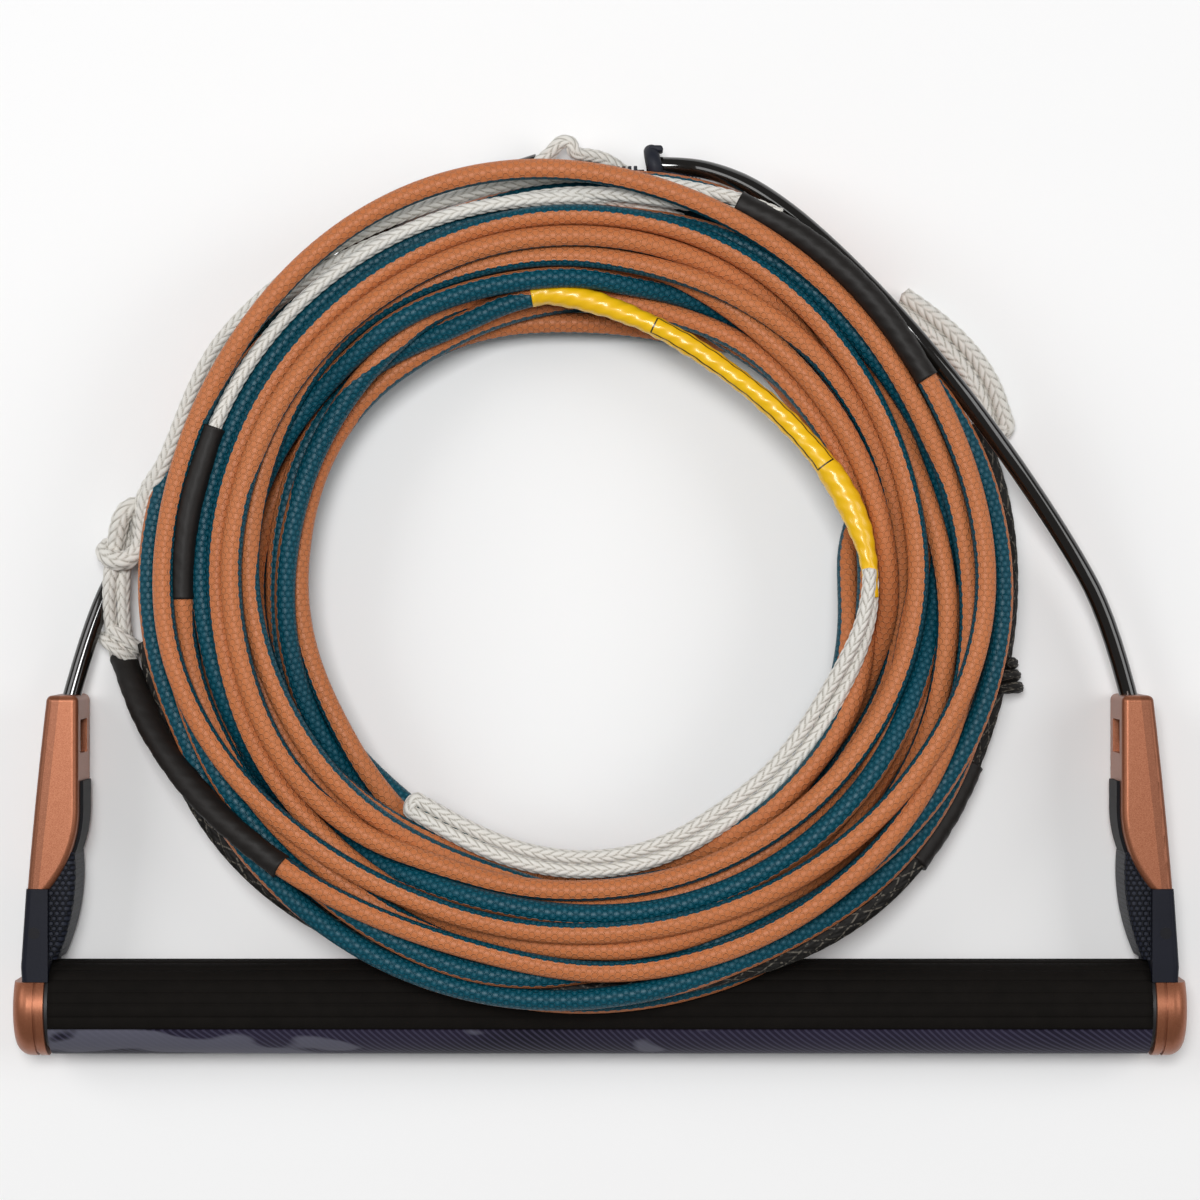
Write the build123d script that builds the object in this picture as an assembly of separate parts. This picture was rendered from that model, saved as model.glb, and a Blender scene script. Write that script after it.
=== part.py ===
"""Tow rope handle: rigid bar with two hollow arms, a tubed bridle and a coiled two-tone mainline.

The handle lies flat, back faces down. +X runs along the bar, +Y towards the rope and +Z up.
The origin is the middle of the handle's footprint, on the surface that it lies on.
"""
from build123d import *
import math
import os

os.makedirs("parts", exist_ok=True)

# Bar
HANDLE_LENGTH = 381.0
BAR_Y = -43.0
BAR_Z = 16.0
GRIP_RADIUS = 15.4
GRIP_HALF = 178.9
WRAP_THICKNESS = 0.8
WRAP_HALF_ANGLE = 66.0
CORE_RADIUS = 11.0
CORE_BORE = 9.0

# Arms, drawn for the +X side and mirrored for the other
ARM_TOP = 59.0
ARM_DEPTH = 28.0
ARM_INNER_X = 169.4
ARM_OUTER_X = 179.6
KNEE_Y = 22.0
KNEE_RADIUS = 40.0
RISER_END_Y = -3.7
RISER_END_X = 185.9
PART_LINE = ((175.0, 62.0), (182.4, -6.0))
COLLAR_X = 179.0
COLLAR_END_Y = -33.9
COLLAR_DEPTH = 29.0
CAP_RADIUS = 16.0
CAP_INNER_X = 180.2
FLANGE_RADIUS = 13.5
PAD_THICKNESS = 1.1
SLOT_Y = (40.0, 51.0)
SLOT_Z = (7.0, 22.0)
EDGE = 2.0

# Ropes and tubes
TUBE_RADIUS = 2.8
CORE_ROPE_RADIUS = 2.0
CHANNEL_RADIUS = 2.4
DOUBLE_ROPE_RADIUS = 3.8
ROPE_RADIUS = 2.2
SLEEVE_RADIUS = 4.2
BOAT_LOOP_RADIUS = 4.0
LABEL_SLEEVE_RADIUS = 3.4

# Coil of mainline
COIL_CENTRE = (-5.0, 95.0)
COIL_HALF_X = 116.5
COIL_HALF_Y = 111.0
BUNDLE_HALF_WIDTH = 25.0
BUNDLE_HALF_HEIGHT = 20.5
COIL_REST_Z = 18.0
COIL_TILT = 3.0
COIL_TILT_Y = 205.0
GRIP_CLEARANCE = 0.35

# Rubber tie
TIE_POCKET_X = (-7, 46)
TIE_POCKET_Y = (217.5, 245)
TIE_POCKET_Z = (4, 22)
TIE_HEAD_X = (15.0, 22.0)
TAIL_ANGLE = -16.0
TAIL_CENTRE = (18.5, 226.2, 12.5)
TAIL_THICKNESS = 2.0
TAIL_WIDTH = 6.8
TAIL_CLEARANCE = 0.35

BRIDLE_RIGHT = [
    (174.9, 52.8, 14.5), (167.5, 83, 15), (151.5, 110.5, 21), (125, 146, 36.5), (99, 178, 40),
    (70.6, 207.5, 36), (51, 224, 25.5), (37, 230.8, 16), (26, 232.8, 12.6), (15.3, 232.8, 12.5),
]
BRIDLE_LEFT = [
    (-174.9, 52.8, 14.5), (-167.5, 83, 15), (-156, 107, 8.5), (-142, 132, 3.2), (-127, 163, 3.2),
    (-105, 191, 3.2), (-76, 213, 3.2), (-45, 227.5, 3.2), (-20.5, 234.5, 7.5),
]
TAKE_OFF_ROPE = [
    (45.5, 219.5, 36.5), (16, 223, 39), (-13, 223.5, 39), (-54.7, 214.8, 39.5), (-87, 197, 40.5),
    (-117.5, 159.5, 44.5), (-140, 132.5, 38), (-149, 121, 28.5),
]
LINK_ROPE = [(-156.8, 105.5, 12), (-158.7, 95, 10.5), (-158, 83, 8.5)]
BRIDLE_END_ROPE = [(-4.6, 236.5, 9), (8, 235.8, 3.2), (26, 233.5, 2.4), (44, 228, 4), (56, 221.5, 6)]
LOOP_HUMP = [(99, 188.5, 4.5), (113, 178, 6), (126, 163, 6), (133, 147, 4.5)]
INNER_LOOP = [
    (93, 93, 45), (87, 72, 44), (65, 45.5, 38), (32, 18.5, 41), (0, 5.5, 46.5), (-33, 12.5, 44.5),
    (-66, 30, 43), (-74, 39, 41),
]
BOAT_LOOP_RIGHT = [(133, 139, 6), (138.5, 116, 5), (140.5, 92, 5), (138.5, 66, 6), (132.5, 47, 10)]
BOAT_LOOP_NEAR = [(103, -1.5, 29), (89, -11.5, 36), (70.5, -20, 44.5), (50, -26.5, 50.5), (30, -29.5, 52)]
BOAT_LOOP_LEFT = [(-56, -25, 52), (-87, -16, 44), (-114, 0, 29), (-131, 20, 16), (-143.5, 46, 13), (-149, 70, 12)]
SLEEVE_LINK = [(-157.5, 66.8, 8), (-155.5, 60.5, 21), (-149, 50.5, 38), (-131, 31.7, 49.5), (-105.5, 3.5, 51.5)]
SLEEVE_LEFT = [(-117, 143, 47), (-126.5, 119, 48), (-132.5, 93, 48.5)]
SLEEVE_TOP = [(49, 212.5, 39), (63, 201.5, 42), (82.5, 182, 44.5), (101, 159.5, 45.5)]
SLEEVE_BOAT = [(131, 43.5, 11), (123.5, 29, 16), (114, 13, 22), (104.5, 0, 28)]
LABEL_SLEEVE = [
    (-22.5, 189, 41), (13, 178.5, 35), (45, 159, 29), (70.5, 134, 30), (84, 112, 37), (92, 97, 43.5),
]


def make_tube(points, radius, bore=0.0):
    """Tube along straight runs joined by tangent arcs, each as large as its runs allow."""
    route = [Vector(*point) for point in points]
    radii = []
    for before, corner, after in zip(route, route[1:], route[2:]):
        half_turn = math.radians((corner - before).get_angle(after - corner)) / 2
        shorter = min((corner - before).length, (after - corner).length)
        radii.append(0.45 * shorter / math.tan(half_turn))
    path = FilletPolyline(*route, radius=radii)
    start = Plane(origin=path @ 0, z_dir=path % 0)
    tube = sweep(start * Circle(radius), path=path)
    if bore:
        tube -= sweep(start * Circle(bore), path=path)
    ideal = math.pi * (radius**2 - bore**2) * path.length
    print(f"length {path.length:.0f} volume ratio {tube.volume / ideal:.4f} radii",
          [round(r) for r in radii])
    return tube


def along_x(radius, low, high, y=BAR_Y, z=BAR_Z):
    """Round bar parallel to X between two X positions."""
    return Pos((low + high) / 2, y, z) * Rot(0, 90, 0) * Cylinder(radius, high - low)


def block(x, y, z):
    """Box between pairs of X, Y and Z limits."""
    size = [pair[1] - pair[0] for pair in (x, y, z)]
    middle = [(pair[1] + pair[0]) / 2 for pair in (x, y, z)]
    return Pos(*middle) * Box(*size)


def slab(outline, low, high):
    """Closed outline in the plane of the handle, raised between two Z heights."""
    return extrude(Pos(0, 0, low) * make_face(outline), high - low, dir=(0, 0, 1))


def round_edges(solid, radius, keep):
    """Round the edges for which keep is true."""
    return fillet([edge for edge in solid.edges() if keep(edge)], radius)


def knee_point(angle, inset=0.0):
    """Point on the arm's inner face where it bends outwards, angle degrees along the bend."""
    turn = math.radians(angle)
    radius = KNEE_RADIUS + inset
    return (ARM_INNER_X + KNEE_RADIUS - radius * math.cos(turn), KNEE_Y - radius * math.sin(turn))


def bar_rope_route():
    """Rope from one tube end, down the arm, along the bar and up the other arm."""
    side = [(174.95, 52.65, 14.5), (176.6, 45.5, 14.4), (178.4, 28, 14.4), (180.6, 9, 14.5), (183, -14, 15)]
    side.append((184.6, BAR_Y, BAR_Z))
    return side + [(-x, y, z) for x, y, z in reversed(side)]


def core_tube():
    """Aluminium tube that carries the grip."""
    return along_x(CORE_RADIUS, -GRIP_HALF, GRIP_HALF) - along_x(CORE_BORE, -GRIP_HALF, GRIP_HALF)


def wrap_wedge(half_angle):
    """Wedge of the bar centred on the side away from the rope."""
    reach = 3 * GRIP_RADIUS
    spread = reach * math.tan(math.radians(half_angle))
    outline = Plane.YZ * Polyline((0, 0), (-reach, -spread), (-reach, spread), close=True)
    wedge = extrude(make_face(outline), GRIP_HALF, both=True)
    return Pos(0, BAR_Y, BAR_Z) * wedge


def grip_parts():
    """Foam grip and the printed wrap let into the side away from the rope."""
    band = along_x(GRIP_RADIUS, -GRIP_HALF, GRIP_HALF)
    band -= along_x(GRIP_RADIUS - WRAP_THICKNESS, -GRIP_HALF, GRIP_HALF)
    wrap = band & wrap_wedge(WRAP_HALF_ANGLE)
    foam = along_x(GRIP_RADIUS, -GRIP_HALF, GRIP_HALF) - along_x(CORE_RADIUS, -GRIP_HALF, GRIP_HALF)
    return foam - wrap, wrap


def riser_outline():
    """Arm seen from above: straight inner face, outward knee and tapered outer face."""
    knee_angle = math.degrees(math.asin((KNEE_Y - RISER_END_Y) / KNEE_RADIUS))
    lines = Line((ARM_INNER_X, ARM_TOP), (ARM_INNER_X, KNEE_Y))
    lines += ThreePointArc((ARM_INNER_X, KNEE_Y), knee_point(knee_angle / 2), knee_point(knee_angle))
    lines += Line(knee_point(knee_angle), (RISER_END_X, RISER_END_Y))
    lines += ThreePointArc((RISER_END_X, RISER_END_Y), (183.6, KNEE_Y), (ARM_OUTER_X, ARM_TOP))
    lines += Line((ARM_OUTER_X, ARM_TOP), (ARM_INNER_X, ARM_TOP))
    return lines


def riser_shells(channel):
    """Two moulded halves of an arm that close round the rope."""
    riser = slab(riser_outline(), 0, ARM_DEPTH)
    top = ARM_TOP - 0.01
    riser = round_edges(
        riser, EDGE,
        lambda edge: edge.bounding_box().max.Y > top and edge.bounding_box().min.Y > top
        or edge.bounding_box().size.Y > 10 and edge.bounding_box().size.Z < 0.01
    )
    cavity = [(171.1, 53), (177.9, 53), (183.4, 4), (178.2, 4), (172.4, 22)]
    riser -= slab(Polyline(*cavity, close=True), 4, 24)
    lean = Vector(*BRIDLE_RIGHT[1]) - Vector(*BRIDLE_RIGHT[0])
    mouth = Plane(origin=BRIDLE_RIGHT[0], z_dir=lean)
    riser -= mouth * Cylinder(TUBE_RADIUS + 0.4, 30)
    riser -= channel
    riser -= block((168, 171.5), SLOT_Y, SLOT_Z)
    (top_x, top_y), (end_x, end_y) = PART_LINE
    inner_side = Polyline((top_x, top_y), (end_x, end_y), (160, end_y), (160, top_y), close=True)
    inner_half = slab(inner_side, -1, ARM_DEPTH + 1)
    return riser & inner_half, riser - inner_half


def rubber_pad():
    """Soft pad on the arm's inner face, over the start of the knee."""
    knee = 20.5
    inset = PAD_THICKNESS
    lines = Line((ARM_INNER_X, 31), (ARM_INNER_X, KNEE_Y))
    lines += ThreePointArc((ARM_INNER_X, KNEE_Y), knee_point(knee / 2), knee_point(knee))
    lines += Line(knee_point(knee), knee_point(knee, inset))
    lines += ThreePointArc(
        knee_point(knee, inset), knee_point(knee / 2, inset), (ARM_INNER_X - inset, KNEE_Y))
    lines += Line((ARM_INNER_X - inset, KNEE_Y), (ARM_INNER_X - inset, 31))
    lines += Line((ARM_INNER_X - inset, 31), (ARM_INNER_X, 31))
    return slab(lines, 6, 23)


def finger_guard():
    """Rounded rubber wedge in the corner between arm and bar."""
    end_angle = math.degrees(math.asin((KNEE_Y - RISER_END_Y) / KNEE_RADIUS))
    knee = 20.5
    start = knee_point(knee, PAD_THICKNESS)
    lines = Line(start, knee_point(knee))
    lines += ThreePointArc(knee_point(knee), knee_point((knee + end_angle) / 2), knee_point(end_angle))
    lines += Line(knee_point(end_angle), (COLLAR_X, RISER_END_Y))
    lines += Line((COLLAR_X, RISER_END_Y), (COLLAR_X, -26.9))
    lines += Line((COLLAR_X, -26.9), (176.6, -26.9))
    lines += ThreePointArc((176.6, -26.9), (171.7, -11), start)
    guard = slab(lines, 2.5, 25.5)
    return round_edges(guard, 2.2, lambda edge: edge.bounding_box().min.X < 173
                       and edge.bounding_box().size.Y > 15)


def collar(channel, link, pins):
    """Moulded sleeve that joins the arm to the bar's end cap."""
    outline = Polyline(
        (COLLAR_X, RISER_END_Y - 0.1), (186.2, RISER_END_Y - 0.1), (187.9, -29),
        (187.6, COLLAR_END_Y), (COLLAR_X, COLLAR_END_Y), close=True)
    sleeve = slab(outline, 0, COLLAR_DEPTH)
    sleeve = round_edges(sleeve, EDGE, lambda edge: edge.bounding_box().min.X > 183
                         and edge.bounding_box().size.Z < 0.01 and edge.bounding_box().size.Y > 3)
    return sleeve - link - channel - pins


def riser_link(channel):
    """Block inside the collar that the pins hold, with the rope channel through it."""
    return block((180.8, 185.8), (COLLAR_END_Y, RISER_END_Y - 0.1), (8, 23)) - channel


def collar_pins():
    """Pin at the front and back of the collar, as two separate solids."""
    front = Pos(183.4, -18, COLLAR_DEPTH - 2.9) * Cylinder(1.9, 6)
    back = Pos(183.4, -18, 4.4) * Cylinder(1.9, 7.2)
    return front, back


def end_cap(channel, plug):
    """Rounded cap over the bar's end, with a groove round its rim."""
    cap = along_x(CAP_RADIUS, CAP_INNER_X, HANDLE_LENGTH / 2)
    cap = fillet(cap.edges().filter_by(GeomType.CIRCLE).sort_by(Axis.X)[-1], 5)
    groove = along_x(CAP_RADIUS + 1, 182.6, 183.6) - along_x(CAP_RADIUS - 0.7, 182.6, 183.6)
    beside_collar = block((170, 200), (COLLAR_END_Y - 0.1, 0), (-1, 40))
    return cap - groove - beside_collar - plug - channel


def bar_end_plug(channel):
    """Plug in the core tube with a flange between the grip and the end cap."""
    plug = along_x(CORE_BORE, 162, GRIP_HALF) + along_x(FLANGE_RADIUS, GRIP_HALF, CAP_INNER_X)
    plug += along_x(7, CAP_INNER_X, 184)
    beside_collar = block((GRIP_HALF, 200), (COLLAR_END_Y - 0.1, 0), (-1, 40))
    return plug - beside_collar - channel


def tube_ferrule():
    """Crimped ring inside the arm that ends the bridle tube."""
    lean = Vector(*BRIDLE_RIGHT[1]) - Vector(*BRIDLE_RIGHT[0])
    ring = Cylinder(2.9, 6) - Cylinder(2.5, 8)
    return Plane(origin=BRIDLE_RIGHT[0], z_dir=lean) * Pos(0, 0, -3.1) * ring


def bundle_section(start, centre, radius):
    """Bundle's section on an upright plane through an arc's centre."""
    out = (math.cos(start), math.sin(start), 0)
    across = (math.sin(start), -math.cos(start), 0)
    plane = Plane(origin=(*centre, 0), x_dir=out, z_dir=across)
    return plane * Pos(radius, COIL_REST_Z) * Ellipse(BUNDLE_HALF_WIDTH, BUNDLE_HALF_HEIGHT)


def mainline_coil():
    """Outer shape of the coiled mainline, over the grip at one side and on the ground beyond."""
    shift = (COIL_HALF_X - COIL_HALF_Y) / (2 - math.sqrt(2))
    small = COIL_HALF_X - shift
    large = COIL_HALF_Y + shift
    arcs = [(shift, 0, small), (0, -shift, large), (-shift, 0, small), (0, shift, large)]
    coil = None
    for index, (x, y, radius) in enumerate(arcs):
        start = math.radians(90 * index - 45)
        quarter = revolve(bundle_section(start, (x, y), radius), Axis((x, y, 0), (0, 0, 1)), 90)
        coil = quarter if coil is None else coil + quarter
    coil = Pos(*COIL_CENTRE, 0) * coil
    coil = coil.rotate(Axis((0, COIL_TILT_Y, 0), (1, 0, 0)), -COIL_TILT)
    coil &= block((-250, 250), (-100, 300), (0, 100))
    coil -= along_x(GRIP_RADIUS + GRIP_CLEARANCE, -GRIP_HALF, GRIP_HALF)
    return coil - block(TIE_POCKET_X, TIE_POCKET_Y, TIE_POCKET_Z)


def tail_bar(low, high, margin):
    """Bar along the tie's tail, grown by a margin, between two distances from the head."""
    bar = Box(high - low, TAIL_THICKNESS + 2 * margin, TAIL_WIDTH + 2 * margin)
    return Pos(*TAIL_CENTRE) * Rot(0, 0, TAIL_ANGLE) * Pos((low + high) / 2, 0, 0) * bar


def tie_head():
    """Head of the rubber tie: an eye round the bridle tube over a slot for the tail."""
    head = block(TIE_HEAD_X, (222.8, 238.8), (5.5, 19.5))
    head = fillet(head.edges().filter_by(Axis.X), 3)
    eye = along_x(3.5, 10, 30, 232.8, 12.5)
    return head - eye - tail_bar(-20, 20, TAIL_CLEARANCE)


def toothed(strip, first, last, pitch, tooth):
    """Strip with a row of cross grooves cut by a tooth-shaped bar."""
    count = int((last - first) / pitch)
    for index in range(count):
        strip -= Pos(first + index * pitch, 0, 0) * tooth
    return strip


def tie_strap():
    """Toothed strap that leaves the head towards -X and turns under the coil."""
    strip = block((-6, 15), (229.6, 232.2), (9, 16))
    tooth = Pos(0, 232.2, 12.5) * Box(1.3, 1.6, 8)
    return toothed(strip, -4.5, 13, 2.6, tooth)


def tie_tail():
    """Tapered toothed tail that slides through the head."""
    tail = tail_bar(-5.5, 20, 0)
    tooth = Pos(0, TAIL_THICKNESS / 2, 0) * Box(1.2, 0.9, 8)
    place = Pos(*TAIL_CENTRE) * Rot(0, 0, TAIL_ANGLE)
    for index in range(6):
        tail -= place * Pos(5.5 + 2.4 * index, 0, 0) * tooth
    return tail


def knot(centre, half_length, radius, heading):
    """Egg-shaped solid round a knot, long axis turned by heading degrees in the plan."""
    half = Plane.XY * (Ellipse(half_length, radius) & Pos(0, radius) * Rectangle(3 * half_length, 2 * radius))
    egg = revolve(half, Axis.X, 360)
    return Pos(*centre) * Rot(0, 0, heading) * egg


def mirrored(solid):
    """Same piece on the -X side."""
    return mirror(solid, about=Plane.YZ)


rope_route = bar_rope_route()
channel = make_tube(rope_route, CHANNEL_RADIUS)
link = riser_link(channel)
pins = collar_pins()
plug = bar_end_plug(channel)
inner_shell, outer_shell = riser_shells(channel)
foam, wrap = grip_parts()

sides = {
    "riser_inner_shell": inner_shell,
    "riser_outer_shell": outer_shell,
    "rubber_pad": rubber_pad(),
    "finger_guard": finger_guard(),
    "collar": collar(channel, link, pins[0] + pins[1]),
    "riser_link": link - pins[0] - pins[1],
    "collar_pins": Compound(children=[pin.solid() for pin in pins]),
    "end_cap": end_cap(channel, plug),
    "bar_end_plug": plug,
    "tube_ferrule": tube_ferrule(),
}
nodes = {
    "core_tube": core_tube(),
    "grip_foam": foam,
    "grip_wrap": wrap,
    "bar_rope": make_tube(rope_route, CORE_ROPE_RADIUS),
    "mainline_coil": mainline_coil(),
    "bridle_tube_right": make_tube(BRIDLE_RIGHT, TUBE_RADIUS),
    "bridle_tube_left": make_tube(BRIDLE_LEFT, TUBE_RADIUS),
    "bridle_end_rope": make_tube(BRIDLE_END_ROPE, ROPE_RADIUS),
    "bridle_knot": knot((-12, 236.2, 11), 7, 4, 15),
    "take_off_rope": make_tube(TAKE_OFF_ROPE, DOUBLE_ROPE_RADIUS),
    "link_knot": knot((-153, 114.5, 18), 9.5, 7, 60),
    "link_rope": make_tube(LINK_ROPE, DOUBLE_ROPE_RADIUS),
    "stopper_knot": knot((-158, 76.5, 7.5), 6.5, 5.5, 10),
    "loop_hump": make_tube(LOOP_HUMP, DOUBLE_ROPE_RADIUS),
    "inner_loop_rope": make_tube(INNER_LOOP, DOUBLE_ROPE_RADIUS),
    "boat_loop_right": make_tube(BOAT_LOOP_RIGHT, BOAT_LOOP_RADIUS),
    "boat_loop_near": make_tube(BOAT_LOOP_NEAR, BOAT_LOOP_RADIUS),
    "boat_loop_left": make_tube(BOAT_LOOP_LEFT, BOAT_LOOP_RADIUS),
    "boat_loop_knot": knot((137.5, 63, 17), 8, 4.5, 72),
    "splice_sleeve_link": make_tube(SLEEVE_LINK, SLEEVE_RADIUS),
    "splice_sleeve_left": make_tube(SLEEVE_LEFT, SLEEVE_RADIUS),
    "splice_sleeve_top": make_tube(SLEEVE_TOP, SLEEVE_RADIUS),
    "splice_sleeve_boat": make_tube(SLEEVE_BOAT, SLEEVE_RADIUS),
    "label_sleeve": make_tube(LABEL_SLEEVE, LABEL_SLEEVE_RADIUS),
    "tie_head": tie_head(),
    "tie_strap": tie_strap(),
    "tie_tail": tie_tail(),
}
for name, solid in sides.items():
    nodes[name + "_right"] = solid
    nodes[name + "_left"] = mirrored(solid)

for name, solid in nodes.items():
    export_step(solid, f"parts/{name}.step")
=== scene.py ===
"""Tow rope handle lying flat with its line coiled over the grip.

Lengths are in metres, and in millimetres only in the winding.
"""
import math

import bpy
import numpy as np
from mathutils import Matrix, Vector


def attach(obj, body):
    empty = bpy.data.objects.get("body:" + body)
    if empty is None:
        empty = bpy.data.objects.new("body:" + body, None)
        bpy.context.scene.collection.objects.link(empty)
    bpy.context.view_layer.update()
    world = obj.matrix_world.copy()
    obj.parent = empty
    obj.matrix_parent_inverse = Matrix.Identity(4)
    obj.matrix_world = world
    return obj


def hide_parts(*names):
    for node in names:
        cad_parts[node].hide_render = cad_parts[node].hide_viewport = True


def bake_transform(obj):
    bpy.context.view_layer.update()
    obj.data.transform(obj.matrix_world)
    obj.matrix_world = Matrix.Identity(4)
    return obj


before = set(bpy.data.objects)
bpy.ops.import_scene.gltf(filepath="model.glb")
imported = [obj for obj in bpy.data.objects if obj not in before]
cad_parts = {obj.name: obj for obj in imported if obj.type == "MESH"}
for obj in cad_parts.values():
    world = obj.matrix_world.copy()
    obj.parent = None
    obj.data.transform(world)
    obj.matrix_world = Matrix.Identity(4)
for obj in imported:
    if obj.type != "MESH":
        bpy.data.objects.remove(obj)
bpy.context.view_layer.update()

# -------- camera, light and floor

GRIP_AXIS = (-0.043, 0.016)    # the grip bar's Y and Z
CAMERA_HEIGHT = 1.15
CAMERA_Y = 0.09


def placed(name, data):
    """New object in the scene."""
    made = bpy.data.objects.new(name, data)
    bpy.context.collection.objects.link(made)
    return made


def add_camera():
    """Camera straight above the handle, with the rope side at the top of the picture."""
    data = bpy.data.cameras.new("camera")
    data.lens = 103.8
    data.sensor_width = 36
    camera = placed("camera", data)
    camera.location = (0, CAMERA_Y, CAMERA_HEIGHT)
    bpy.context.scene.camera = camera


LIGHT_AIM = Vector((0, 0.08, 0))
# name, place, size, power
LIGHTS = [
    ("top", (-0.1, 0.35, 1.8), 0.5, 19),
    ("left", (-1.3, 0.5, 1.1), 0.9, 8),
    ("right", (1.3, 0.3, 1.1), 0.9, 7),
]


def add_area_light(name, place, size, power):
    data = bpy.data.lights.new(name, "AREA")
    data.size = size
    data.energy = power
    light = placed(name, data)
    light.location = place
    light.rotation_euler = (LIGHT_AIM - Vector(place)).to_track_quat("-Z", "Y").to_euler()


def add_stage():
    """Pale floor, soft lights and an even surround."""
    bpy.context.scene.view_settings.view_transform = "Standard"
    bpy.ops.mesh.primitive_plane_add(size=6, location=(0, 0, -0.0002))
    floor = bpy.context.object
    floor.name = "floor"
    floor.data.materials.append(Nodes("floor_paper", (0.93, 0.93, 0.93), 0.9).material)
    world = bpy.data.worlds.new("surround")
    bpy.context.scene.world = world
    world.use_nodes = True
    surround = world.node_tree.nodes["Background"].inputs
    surround["Color"].default_value = (1, 1, 1, 1)
    surround["Strength"].default_value = 0.17
    for light in LIGHTS:
        add_area_light(*light)


# -------- materials

class Nodes:
    """Short names for building a material's node tree."""

    def __init__(self, name, colour, roughness, **settings):
        self.material = bpy.data.materials.new(name)
        self.material.use_nodes = True
        self.tree = self.material.node_tree
        self.shader = self.tree.nodes["Principled BSDF"]
        self.shader.inputs["Base Color"].default_value = (*colour, 1)
        self.shader.inputs["Roughness"].default_value = roughness
        for key, value in settings.items():
            self.shader.inputs[key.replace("_", " ").title().replace("Ior", "IOR")].default_value = value

    def link(self, source, target):
        self.tree.links.new(source, target)

    def node(self, kind, **values):
        made = self.tree.nodes.new(kind)
        for key, value in values.items():
            if hasattr(made, key):
                setattr(made, key, value)
            else:
                made.inputs[key.replace("_", " ")].default_value = value
        return made

    def math(self, operation, *inputs):
        made = self.node("ShaderNodeMath", operation=operation)
        for slot, value in zip(made.inputs, inputs):
            if isinstance(value, (int, float)):
                slot.default_value = value
            else:
                self.link(value, slot)
        return made.outputs[0]

    def times(self, a, b):
        return self.math("MULTIPLY", a, b)

    def plus(self, a, b):
        return self.math("ADD", a, b)

    def minus(self, a, b):
        return self.math("SUBTRACT", a, b)

    def size(self, a):
        return self.math("ABSOLUTE", a)

    def ramp(self, value, low, high):
        """0 below low, 1 above high, smooth between."""
        made = self.node("ShaderNodeMapRange", interpolation_type="SMOOTHSTEP")
        self.link(value, made.inputs["Value"])
        made.inputs["From Min"].default_value = low
        made.inputs["From Max"].default_value = high
        return made.outputs["Result"]

    def mix(self, factor, a, b):
        made = self.node("ShaderNodeMix", data_type="RGBA")
        for slot, value in zip((made.inputs[0], made.inputs[6], made.inputs[7]), (factor, a, b)):
            if isinstance(value, (int, float)):
                slot.default_value = value
            elif isinstance(value, tuple):
                slot.default_value = (*value, 1)
            else:
                self.link(value, slot)
        return made.outputs[2]

    def vector(self, operation, source, value=(0, 0, 0)):
        made = self.node("ShaderNodeVectorMath", operation=operation)
        self.link(source, made.inputs[0])
        made.inputs[1].default_value = value
        return made.outputs[0]

    def joined(self, *parts):
        """Vector with the given X, Y and Z."""
        made = self.node("ShaderNodeCombineXYZ")
        for slot, part in zip(made.inputs, parts):
            self.link(part, slot)
        return made.outputs[0]

    def parts(self, source):
        """X, Y and Z of a vector."""
        made = self.node("ShaderNodeSeparateXYZ")
        self.link(source, made.inputs[0])
        return made.outputs

    def place(self):
        """Position in the object's own space."""
        return self.node("ShaderNodeTexCoord").outputs["Object"]

    def uv(self):
        """Round-the-cord fraction and distance along it in metres."""
        return self.parts(self.node("ShaderNodeUVMap", uv_map="Along").outputs["UV"])[:2]

    def noise(self, scale, detail=3.0, vector=None):
        made = self.node("ShaderNodeTexNoise", Scale=scale, Detail=detail)
        self.link(vector or self.place(), made.inputs["Vector"])
        return made.outputs["Fac"]

    def relief(self):
        """Height of a braid's stitches, as kept on its mesh."""
        return self.node("ShaderNodeAttribute", attribute_name="relief").outputs["Fac"]

    def finish(self, colour, height, strength, distance):
        """The material, with its colour and a bump of the given height, strength and distance."""
        made = self.node("ShaderNodeBump")
        made.inputs["Strength"].default_value = strength
        made.inputs["Distance"].default_value = distance
        self.link(height, made.inputs["Height"])
        self.link(colour, self.shader.inputs["Base Color"])
        self.link(made.outputs["Normal"], self.shader.inputs["Normal"])
        return self.material


def moulded(name, colour, roughness, grain=900.0, depth=0.00005, **settings):
    """Moulded plastic or rubber: faint mottling and a fine grain."""
    n = Nodes(name, colour, roughness, **settings)
    dark = tuple(0.72 * c for c in colour)
    light = tuple(min(1, 1.22 * c) for c in colour)
    shade = n.mix(n.noise(60.0), dark, light)
    return n.finish(shade, n.noise(grain), 0.5, depth)


def copper_paint(name, shade):
    """Metallic copper paint with fine flakes. shade is from 0, dark, to 1, light: below 1 it is painted
    shade, for a face that gets less light.
    """
    n = Nodes(name, (0.5, 0.19, 0.11), 0.38, metallic=0.6)
    flakes = n.noise(5200.0, 1.0)
    soft = n.noise(35.0, 2.0)
    low, high = (0.27, 0.088, 0.038), (0.42, 0.165, 0.085)
    # shade darkens both tones: painted shade for a flank that gets less light
    low, high = [tuple(c * (0.6 + 0.4 * shade) for c in tone) for tone in (low, high)]
    tone = n.mix(n.ramp(flakes, 0.35, 0.7), low, high)
    tone = n.mix(n.times(soft, 0.3), tone, (0.26, 0.08, 0.045))
    return n.finish(tone, flakes, 0.25, 0.00004)


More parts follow.
